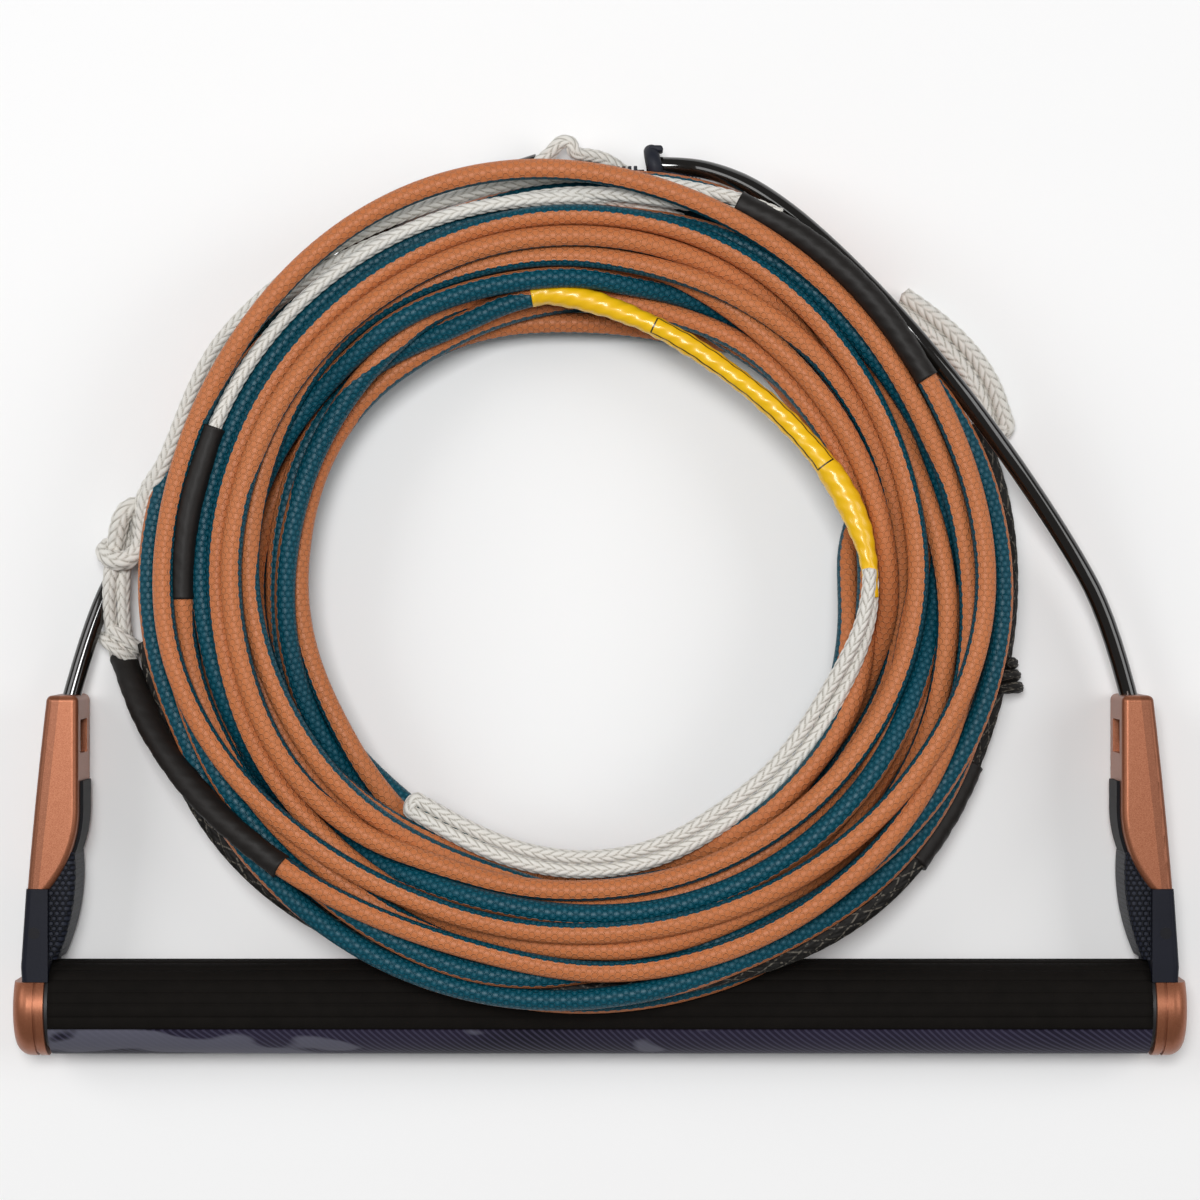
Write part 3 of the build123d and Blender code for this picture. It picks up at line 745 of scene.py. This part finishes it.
class Bundle:
    """All cords' stations together, pushed apart until none lies in another, the floor or the grip."""

    def __init__(self, windings):
        self.windings = windings
        self.offsets = np.cumsum([0] + [len(winding.r) for winding in windings])
        for name in ("angle", "r", "z", "hold", "hold_z", "radius"):
            setattr(self, name, np.concatenate([getattr(winding, name) for winding in windings]))
        self.target_r, self.target_z = self.r.copy(), self.z.copy()
        self.middle, self.height, self.half, self.tall = band(self.angle)
        self.sine = np.sin(np.radians(self.angle))
        self.shown = self.hold > 0.3
        self.a, self.b = neighbours(windings, self.offsets)
        self.near = self.radius[self.a] + self.radius[self.b] + 0.1
        self.share_out()

    def share_out(self):
        """How much of a push each station of a pair takes: none if it is fixed, less if it is held."""
        a, b, fixed, held = self.a, self.b, self.hold >= 1, np.minimum(self.hold, 0.9)
        self.share_a = np.where(fixed[a], 0.0, np.where(fixed[b], 2.0, 1.0))
        self.share_b = 2 - self.share_a
        self.slack_a, self.slack_b = self.share_a * (1.05 - held[a]), self.share_b * (1.05 - held[b])
        self.slack = np.maximum(self.slack_a + self.slack_b, 1e-3)

    def draw(self, done):
        """Draw the stations to their places, let those held at no height drop, and even out the bends."""
        moving = done < COME_TO_REST
        rest = COME_TO_REST - LET_GO
        grip = 1.0 if done < LET_GO else max(0.0, (COME_TO_REST - done) / rest)
        self.r += self.hold * 0.25 * (0.15 + 0.85 * grip) * (self.target_r - self.r)
        self.z += self.hold_z * 0.3 * (0.1 + 0.9 * grip) * (self.target_z - self.z)
        self.z -= np.where(self.hold_z > 0.02, 0.0, 0.22) * (1 if moving else 0.1)
        for first, last in zip(self.offsets[:-1], self.offsets[1:]):
            if last - first > 12:
                for values in (self.r, self.z):
                    values[first:last] = stiffen(values[first:last], 1.0 if moving else 0.25)

    def push_apart(self):
        a, b, count = self.a, self.b, len(self.r)
        away_r, away_z = self.r[b] - self.r[a], self.z[b] - self.z[a]
        distance = np.hypot(away_r, away_z) + 1e-6
        push = np.where(distance < self.near, (self.near - distance) / distance, 0.0)
        move_r = (np.bincount(b, push * away_r * self.slack_b / self.slack, count)
                  - np.bincount(a, push * away_r * self.slack_a / self.slack, count))
        move_z = (np.bincount(b, push * away_z * self.share_b / 2, count)
                  - np.bincount(a, push * away_z * self.share_a / 2, count))
        self.r += np.clip(move_r, -1.5, 1.5) * 0.6
        self.z += np.clip(move_z, -1.5, 1.5) * 0.6

    def keep_in(self):
        """Bring hidden stations back into the bundle's outline, and every station above the floor."""
        u = (self.r - self.middle) / (self.half - LINE_RADIUS)
        v = (self.z - self.height) / (self.tall - LINE_RADIUS)
        outside = np.hypot(u, v)
        pull = np.where((outside > 1) & ~self.shown, 0.4 * (1 - 1 / outside), 0.0)
        self.r -= (self.r - self.middle) * pull
        self.z -= np.where(v > 0, (self.z - self.height) * pull, 0)
        self.z = np.maximum(self.z, self.radius)

    def keep_off_bar(self):
        y, z = COIL_CENTRE[1] + self.r * self.sine - BAR_Y, self.z - BAR_Z
        distance = np.hypot(y, z)
        lift = np.maximum(BAR_CLEAR_RADIUS + self.radius - distance, 0)
        self.r += lift * y / distance * self.sine
        self.z += lift * z / distance

    def settle(self):
        for step in range(ROUNDS):
            done = step / ROUNDS
            self.draw(done)
            for _ in range(2 if done < COME_TO_REST else 5):
                self.push_apart()
                self.keep_in()
                self.keep_off_bar()
        for winding, first, last in zip(self.windings, self.offsets[:-1], self.offsets[1:]):
            winding.r, winding.z = self.r[first:last], self.z[first:last]


def wind():
    """The coil's cords, settled: take-off section, short section, long section with its leader, boat loop."""
    take_off = Winding(187.5, 877.5)
    take_off.show_rope(LINK_SLEEVE, 4.2)
    take_off.show_line(TAKE_OFF, lift=TAKE_OFF_LIFT, hold=0.9)
    take_off.show_rope(TOP_ROPE, 3.6)
    take_off.fill(resting_places(3))
    short = Winding(75, 712.5)
    short.show_rope(SIDE_ROPE, 2.4)
    short.show_line(SHORT, lift=2.0)
    short.fill(resting_places(29)[[24, 20, 12]])    # three of the places, from the outer side inwards
    main = Winding(-127.5, 105 + 360 * MAIN_TURNS)
    main.show_rope(LEAD, 3.9, turn=-1)
    for turn, lift, points in MAIN.values():
        main.show_line(points, turn, lift)
    main.fill(resting_places(28)[np.r_[0, np.arange(28)]])    # its first two turns share the innermost place
    braid = Winding(187.5, 382.5)
    braid.show_rope(BRAID, 4.1)
    tube = Winding(15, 67.5, 2.9)
    tube.show_rope(TUBE_OVER, 2.9, hold=1.0)
    tube.hold_z[:] = 1.0
    Bundle([take_off, short, main, braid, tube]).settle()
    return take_off, short, main, braid


# -------- routes of the other cords, in metres

BRIDLE_RIGHT = [
    (0.1749, 0.0528, 0.0145), (0.1675, 0.083, 0.015), (0.1515, 0.1105, 0.021), (0.125, 0.146, 0.0365),
    (0.099, 0.178, 0.04), (0.0706, 0.2075, 0.036), (0.051, 0.224, 0.0255), (0.037, 0.2308, 0.016),
    (0.026, 0.2328, 0.0126), (0.0153, 0.2328, 0.0125),
]
BRIDLE_LEFT = [
    (-0.1749, 0.0528, 0.0145), (-0.1675, 0.083, 0.0105), (-0.156, 0.107, 0.0045), (-0.142, 0.132, 0.0032),
    (-0.127, 0.163, 0.0032), (-0.105, 0.191, 0.0032), (-0.076, 0.213, 0.0032), (-0.045, 0.2275, 0.0032),
    (-0.0205, 0.2345, 0.0075),
]
BRIDLE_END = [
    (-0.0215, 0.2335, 0.0085), (-0.0165, 0.2365, 0.0115), (-0.0135, 0.2405, 0.0135),
    (-0.0095, 0.2408, 0.0135), (-0.0085, 0.2365, 0.0125), (-0.0035, 0.2368, 0.009),
    (0.002, 0.2358, 0.0062), (0.007, 0.2325, 0.0045), (0.014, 0.227, 0.0035), (0.024, 0.2225, 0.003),
    (0.044, 0.228, 0.004), (0.056, 0.2215, 0.006),
]
LOOP_HUMP = [
    (0.099, 0.1885, 0.0045), (0.113, 0.179, 0.006), (0.1265, 0.163, 0.006), (0.1315, 0.148, 0.005),
]
# The take-off loop's ring, round the link loop, from one strand of the loop to the other
RING = [
    (-0.1408, 0.1345, 0.028), (-0.1455, 0.127, 0.025), (-0.1485, 0.119, 0.021), (-0.1487, 0.111, 0.0185),
    (-0.1515, 0.1048, 0.0185), (-0.1565, 0.1023, 0.0185), (-0.1618, 0.104, 0.0165),
    (-0.1632, 0.1072, 0.0105), (-0.158, 0.1087, 0.0062), (-0.1532, 0.1075, 0.009), (-0.151, 0.112, 0.0135),
    (-0.1508, 0.119, 0.0155), (-0.147, 0.127, 0.0195), (-0.141, 0.1350, 0.0235),
]
LINK = [
    (-0.1595, 0.070, 0.0058), (-0.1612, 0.079, 0.009), (-0.1614, 0.090, 0.0125), (-0.1607, 0.098, 0.0135),
    (-0.1592, 0.106, 0.0138), (-0.158, 0.113, 0.017), (-0.1558, 0.1192, 0.0185), (-0.1515, 0.1218, 0.0145),
    (-0.1545, 0.118, 0.0093), (-0.1572, 0.111, 0.0105), (-0.157, 0.104, 0.012), (-0.1567, 0.097, 0.0128),
    (-0.1568, 0.090, 0.012), (-0.1567, 0.079, 0.009), (-0.1553, 0.070, 0.0058),
]

ROPE_DIAMETER = 0.0046
TUBE_DIAMETER = 0.0059
BRAID_DIAMETER = 0.008
LINE_DIAMETER = 0.007


def settled(winding, first, last):
    """Angles and points of a settled cord between two angles, in metres."""
    inner = winding.angle[(winding.angle > first + 1) & (winding.angle < last - 1)]
    angles = np.concatenate([[first], inner, [last]])
    r, z = (np.interp(angles, winding.angle, values) for values in (winding.r, winding.z))
    turn = np.radians(angles)
    x, y = COIL_CENTRE[0] + r * np.cos(turn), COIL_CENTRE[1] + r * np.sin(turn)
    return angles, np.stack([x, y, z], axis=1) * MM


def beside(points, across, up=0.0):
    """Points moved sideways and up from a route, in metres."""
    points = np.array(points, float)
    _, upward, out = frames(points)
    return points + np.reshape(across, (-1, 1)) * out + np.reshape(up, (-1, 1)) * upward


def doubled(points, gap, twist=0.0):
    """Route that runs along a line and returns beside itself, at first one strand over the other."""
    turn = math.radians(twist) * (1 - smooth_step(np.linspace(0, 3, len(points))))
    side = beside(points, gap / 2 * np.cos(turn), gap / 2 * np.sin(turn))
    other = beside(points, -gap / 2 * np.cos(turn), -gap / 2 * np.sin(turn))
    tangent = frames(np.array(points, float))[0]
    end = [side[-1] + tangent[-1] * gap * 0.45, other[-1] + tangent[-1] * gap * 0.45]
    return np.vstack([side, end, other[::-1]])


def along_coil(piece, *nodes):
    """A piece that rides on the coil and stands for CAD nodes."""
    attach(piece, "coil")
    if nodes:
        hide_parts(*nodes)
    return piece


def declare(line, length=None):
    """Length of the cord along the line where no length is given; the result is not kept."""
    length = length or round(distances(line)[-1], 3)


def coated_section(name, winding, first, last, length, material):
    """Stretch of coated line with its two colours rolled as they lie."""
    _, points = settled(winding, first, last)
    line = sampled(points, 0.004)
    x, y = line[:, 0] - COIL_CENTRE[0] * MM, line[:, 1] - COIL_CENTRE[1] * MM
    place = np.degrees(np.unwrap(np.arctan2(y, x)))
    place += 360 * round((first - place[0]) / 360)
    roll = np.interp(place, winding.angle, winding.roll)
    piece = tube_mesh(name, line, 0.96 * LINE_DIAMETER / 2, material, 20, roll=roll)
    along_coil(piece, "mainline_coil")
    declare(line, length)


def sleeve(name, points, radii, material, wrinkle, node):
    """Shrunk sleeve over a splice. radii are spread evenly along it; wrinkle is the depth of its creases."""
    line = sampled(points, 0.0008)
    sides = 36
    along = distances(line)
    part = along / along[-1]
    radius = np.interp(part, np.linspace(0, 1, len(radii)), radii)[:, None]
    turn = np.arange(sides)[None, :] / sides * 2 * math.pi
    crease = (np.sin(along[:, None] * 900 + 3 * np.sin(turn)) * np.sin(along[:, None] * 310 + turn * 2)
              + 0.6 * np.sin(along[:, None] * 170 + 2 * turn + 1.0))
    lip = 0.00025 * np.exp(-(np.minimum(along, along[-1] - along) / 0.0012) ** 2)[:, None]
    piece = tube_mesh(name, line, radius + wrinkle * crease + lip, material, sides, round_ends=False)
    return along_coil(piece, node)


def add_lines(take_off, short, main, coat):
    """The coated line's three sections, with their real lengths passed on but not kept."""
    coated_section("line_take_off", take_off, 219, 755, 1.14, coat)
    coated_section("line_short", short, 177, 712.5, 1.05, coat)
    coated_section("line_long", main, 97, 105 + 360 * MAIN_TURNS, 18.4, coat)


def add_sleeves(take_off, short, main, film, yellow):
    low = settled(take_off, 195, 223)[1]
    sleeve("sleeve_link", np.vstack([[(-0.1575, 0.071, 0.006)], low]),
           [0.0044, 0.0045, 0.0044, 0.0043, 0.0041, 0.0039], film, 0.00012, "splice_sleeve_link")
    sleeve("sleeve_left", settled(short, 157, 182)[1], [0.0035, 0.0038, 0.0037, 0.0037], film, 0.00008,
           "splice_sleeve_left")
    sleeve("sleeve_top", settled(take_off, 751, 788)[1], [0.0037, 0.004, 0.004, 0.0042], film, 0.00012,
           "splice_sleeve_top")
    radii = np.array([39, 37, 34, 33, 33, 33, 34, 34, 35, 43, 40, 30, 23]) * 1e-4
    sleeve("sleeve_label", settled(main, -2.5, 100.5)[1][::-1], radii, yellow, 0.00022, "label_sleeve")


def thickened(thin, rise, thick, count):
    """Diameters along a route of count points: the rope's own on thin points at each end, more between."""
    end = [ROPE_DIAMETER] * thin
    return end + [rise] + [thick] * (count - 2 * thin - 2) + [rise] + end


def take_off_route(take_off):
    """Both strands of the take-off loop with the ring between them, and the rope's diameters."""
    angles, run = settled(take_off, 782, 870)
    inward = np.interp(angles, [785, 797, 830, 845], [0.0022, 0.0045, 0.0045, 0.0022])
    outward = np.interp(angles, [785, 793, 830, 845], [0.0022, 0.0014, 0.0020, 0.0022])
    drop = np.interp(angles, [785, 797, 830, 845], [0.0005, -0.005, -0.004, 0.0005])
    route = np.vstack([beside(run, outward, drop), RING, beside(run, -inward, -0.0005)[::-1]])
    return route, thickened(len(run), 0.0056, 0.0066, len(route))


def white_rope(name, route, fibre, nodes=(), diameter=ROPE_DIAMETER):
    """Limp white rope that stands for the named CAD nodes."""
    rope, line = braided_rope(name, route, diameter, fibre)
    along_coil(rope, *nodes)
    declare(line)


def add_white_ropes(take_off, short, main, fibre):
    route, diameter = take_off_route(take_off)
    white_rope("loop_take_off", route, fibre, ["take_off_rope", "link_knot"], diameter)
    link, line = braided_rope("loop_link", LINK, thickened(3, 0.0054, 0.0062, len(LINK)), fibre)
    along_coil(link, "link_rope")
    turns = wrap((-0.158, 0.0762, 0.0072), -28, 0.0058, 0.0046, 0.0042, 1.7)
    knot, _ = braided_rope("knot_stopper", turns, ROPE_DIAMETER, fibre)
    along_coil(knot, "stopper_knot")
    declare(line)
    white_rope("rope_side", settled(short, 75, 160)[1][::-1], fibre)
    leader = doubled(settled(main, -127, 3)[1][::-1], ROPE_DIAMETER, 80)
    white_rope("loop_leader", leader, fibre, ["inner_loop_rope"])
    white_rope("rope_bridle_end", BRIDLE_END, fibre, ["bridle_end_rope", "bridle_knot"])
    white_rope("loop_hump_rope", doubled(LOOP_HUMP, 0.0056), fibre, ["loop_hump"], 0.0060)


def wrap(centre, heading, width, height, pitch, turns):
    """Turns of rope round an axis that lies flat. heading is the axis's, in degrees from +Y; width and height
    are half those of a turn."""
    heading = math.radians(heading)
    ahead = np.array([math.sin(-heading), math.cos(heading), 0])
    aside = np.array([math.cos(heading), math.sin(heading), 0])
    steps = int(turns * 12)
    points = []
    for k in range(steps + 1):
        turn = 2 * math.pi * k / 12
        shift = (k / steps - 0.5) * pitch * turns
        point = np.array(centre) + ahead * shift + aside * width * math.cos(turn)
        points.append(point + np.array([0, 0, height * math.sin(turn)]))
    return points


def add_boat_loop(braid, fibre, film):
    _, run = settled(braid, 187.5, 382)
    loop, line = braided_rope(
        "boat_loop", run, BRAID_DIAMETER, fibre, columns=12, pitch=0.0055, depth=0.12, sides=60)
    along_coil(loop, "boat_loop_right", "boat_loop_near", "boat_loop_left")
    turns = wrap((0.1325, 0.0645, 0.0085), 12, 0.0046, 0.0046, 0.0040, 2.2)
    knot, _ = braided_rope("boat_knot", turns, 0.0042, fibre, columns=8, pitch=0.004)
    along_coil(knot, "boat_loop_knot")
    run = settled(braid, 320, 335)[1]
    cover = sleeve("sleeve_boat", run, [0.0045, 0.0047, 0.0047, 0.0046], film, 0.00015, "splice_sleeve_boat")
    declare(line)


def add_bridle(material):
    """Tubes that bend between the arms' mouths and the coil."""
    for side, route in (("right", BRIDLE_RIGHT), ("left", BRIDLE_LEFT)):
        line = sampled(route, 0.002)
        tube = tube_mesh(f"tube_{side}", line, TUBE_DIAMETER / 2, material, 32, round_ends=False)
        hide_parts(f"bridle_tube_{side}")
        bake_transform(tube)
        declare(line)


# -------- rubber tie

TIE_EYE = (0.0178, 0.2325, 0.0125)
STRAP_HEIGHTS = (0.0095, 0.0150)
STRAP_TOOTH = (0.0019, 0.0013)    # pitch and depth
TAIL_HEIGHTS = (0.0100, 0.0148)
TAIL_TOOTH = (0.0012, 0.0004)


def solid(name, outline, heights, material, bevel=0.0006):
    """Flat outline between two heights, with rounded edges."""
    points = [(x, y, z) for z in heights for x, y in outline]
    made = piece_of(name, points, ring_faces(2, len(outline)), material)
    rounding = made.modifiers.new("rounding", "BEVEL")
    rounding.width = bevel
    rounding.segments = 3
    return made


def teeth_edge(start, end, pitch, depth):
    """Points of a toothed edge from one place to another, its teeth standing towards +Y."""
    start, end = np.array(start), np.array(end)
    way = (end - start) / np.linalg.norm(end - start)
    up = np.array([-way[1], way[0]]) * (1 if way[0] > 0 else -1)
    points = []
    for k in range(int(np.linalg.norm(end - start) / pitch)):
        foot = start + way * pitch * k
        points += [foot, foot + up * depth, foot + way * pitch * 0.6 + up * depth, foot + way * pitch * 0.6]
    return [tuple(point) for point in points + [end]]


def make_tie(rubber):
    """Eye round the tube's end, with a flat tab on it, a toothed strap and a tapered toothed tail."""
    bpy.ops.mesh.primitive_torus_add(
        major_radius=0.0052, minor_radius=0.0021, major_segments=72, minor_segments=24,
        location=TIE_EYE, rotation=(0, math.pi / 2, math.radians(12)))
    eye = bpy.context.object
    eye.name = "tie_eye"
    eye.scale = (1, 1, 1.15)
    eye.data.materials.append(rubber)
    eye.data.shade_smooth()
    x, y, z = TIE_EYE
    outline = [(-0.0014, 0.0065), (-0.0022, 0.0052), (-0.0006, 0.0045), (0.0026, 0.0045), (0.0030, 0.0052),
               (0.0024, 0.0065)]
    tab = solid("tie_tab", [(x + a, y + b) for a, b in outline], (z - 0.0035, z + 0.0045), rubber)
    outline = [(-0.0030, -0.0025), (-0.0034, -0.0080), (0.0060, -0.0095), (0.0062, -0.0030),
               (0.0030, -0.0015)]
    base = solid("tie_base", [(x + a, y + b) for a, b in outline], (z - 0.0055, z + 0.0050), rubber, 0.0012)
    for piece in (eye, tab, base):
        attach(piece, "coil")
    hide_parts("tie_head")
    outline = teeth_edge((-0.006, 0.2307), (0.0145, 0.2312), *STRAP_TOOTH)
    outline += [(0.0150, 0.2250), (-0.006, 0.2262)]
    strap = solid("tie_toothed_strap", outline, STRAP_HEIGHTS, rubber, 0.0002)
    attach(strap, "coil")
    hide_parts("tie_strap")
    outline = [(0.0150, 0.2300), (0.0230, 0.2308)]
    outline += teeth_edge((0.0265, 0.2297), (0.0340, 0.2276), *TAIL_TOOTH)
    outline += [(0.0362, 0.2265), (0.0350, 0.2260), (0.0250, 0.2264), (0.0150, 0.2268)]
    tail = solid("tie_toothed_tail", outline, TAIL_HEIGHTS, rubber, 0.0002)
    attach(tail, "tie_tail")
    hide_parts("tie_tail")


# -------- handle

GRIP_RADIUS = 0.0154
GRIP_HALF = 0.1789
BAND_HALF_ANGLE = math.radians(66)
RIDGES = 22
RIDGE_DEPTH = 0.0007


def along_grip(name, ring, stations, material):
    """Piece of the grip with the same section at every station; ring holds its points round the axis."""
    points = [(x, GRIP_AXIS[0] + a, GRIP_AXIS[1] + b) for x in stations for a, b in ring]
    piece = piece_of(name, points, ring_faces(len(stations), len(ring)), material)
    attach(piece, "handle")
    return piece


def add_grip(material):
    """Foam grip with fine ridges along it, sunk where the printed band lies."""
    turn = np.arange(264) / 264 * 2 * math.pi
    printed = np.minimum(turn, 2 * math.pi - turn) < BAND_HALF_ANGLE
    ridge = np.abs(np.sin(turn * RIDGES / 2)) ** 0.35
    radius = np.where(printed, GRIP_RADIUS - 0.0009, GRIP_RADIUS - RIDGE_DEPTH * (1 - ridge))
    ring = np.stack([-np.cos(turn) * radius, np.sin(turn) * radius], axis=1)
    grip = along_grip("grip_ribbed", ring, np.linspace(-GRIP_HALF, GRIP_HALF, 140), material)
    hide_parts("grip_foam")


def add_band(material):
    """Printed band, a thin smooth shell round the outer side of the grip."""
    turn = np.linspace(-BAND_HALF_ANGLE, BAND_HALF_ANGLE, 89)
    arc = np.stack([-np.cos(turn), np.sin(turn)], axis=1)
    ring = np.vstack([arc * (GRIP_RADIUS + 0.0001), arc[::-1] * (GRIP_RADIUS - 0.0008)])
    shell = along_grip("printed_band", ring, (-GRIP_HALF, GRIP_HALF), material)
    shell.data.set_sharp_from_angle(angle=math.radians(40))
    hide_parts("grip_wrap")


def paint(materials):
    """CAD nodes take a material by the start of their name."""
    for name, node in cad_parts.items():
        for start, material in materials.items():
            if name.startswith(start):
                node.data.materials.clear()
                node.data.materials.append(material)


def make_handle():
    plastic = moulded("navy_plastic", (0.007, 0.008, 0.015), 0.42, specular_ior_level=0.16)
    rubber = moulded("tie_rubber", (0.010, 0.012, 0.021), 0.55, specular_ior_level=0.3)
    inner = moulded("inner_plastic", (0.03, 0.03, 0.032), 0.5)
    steel = moulded("pin_steel", (0.004, 0.004, 0.007), 0.45, specular_ior_level=0.2)
    alloy = moulded("tube_alloy", (0.55, 0.56, 0.58), 0.35, metallic=1.0)
    # The outer shells take a copy of the copper darkened as painted shade, because their flank gets less
    # light.
    copper, shaded_copper = copper_paint("copper_paint", 1.0), copper_paint("shaded_copper_paint", 0.2)
    add_grip(foam())
    add_band(printed_band())
    make_tie(rubber)
    paint({
        "riser_inner_shell": copper, "riser_outer_shell": shaded_copper, "end_cap": copper,
        "collar": plastic, "collar_pins": steel, "riser_link": inner, "bar_end_plug": inner,
        "tube_ferrule": alloy, "core_tube": alloy, "finger_guard": scaled_rubber(),
        "rubber_pad": moulded("pad_rubber", (0.004, 0.004, 0.006), 0.55, specular_ior_level=0.12),
        "bar_rope": moulded("bar_rope_fibre", (0.62, 0.60, 0.55), 0.8, 1800.0, 0.0004),
    })


# -------- assembly

def make_cords():
    take_off, short, main, braid = wind()
    coat = coated_line()
    # The white rope's second colour is the painted shade between its strands.
    white = fibre_rope("white_rope", (0.80, 0.78, 0.73), (0.36, 0.33, 0.28), 0.75)
    black = black_braid()
    film = moulded("shrink_film", (0.010, 0.008, 0.007), 0.55, 500.0, 0.0002, specular_ior_level=0.3)
    tube = Nodes("black_tube", (0.006, 0.005, 0.004), 0.10, coat_weight=0.6, coat_roughness=0.05).material
    add_lines(take_off, short, main, coat)
    add_sleeves(take_off, short, main, film, yellow_film())
    add_white_ropes(take_off, short, main, white)
    add_boat_loop(braid, black, film)
    add_bridle(tube)


add_camera()
make_cords()
make_handle()
add_stage()
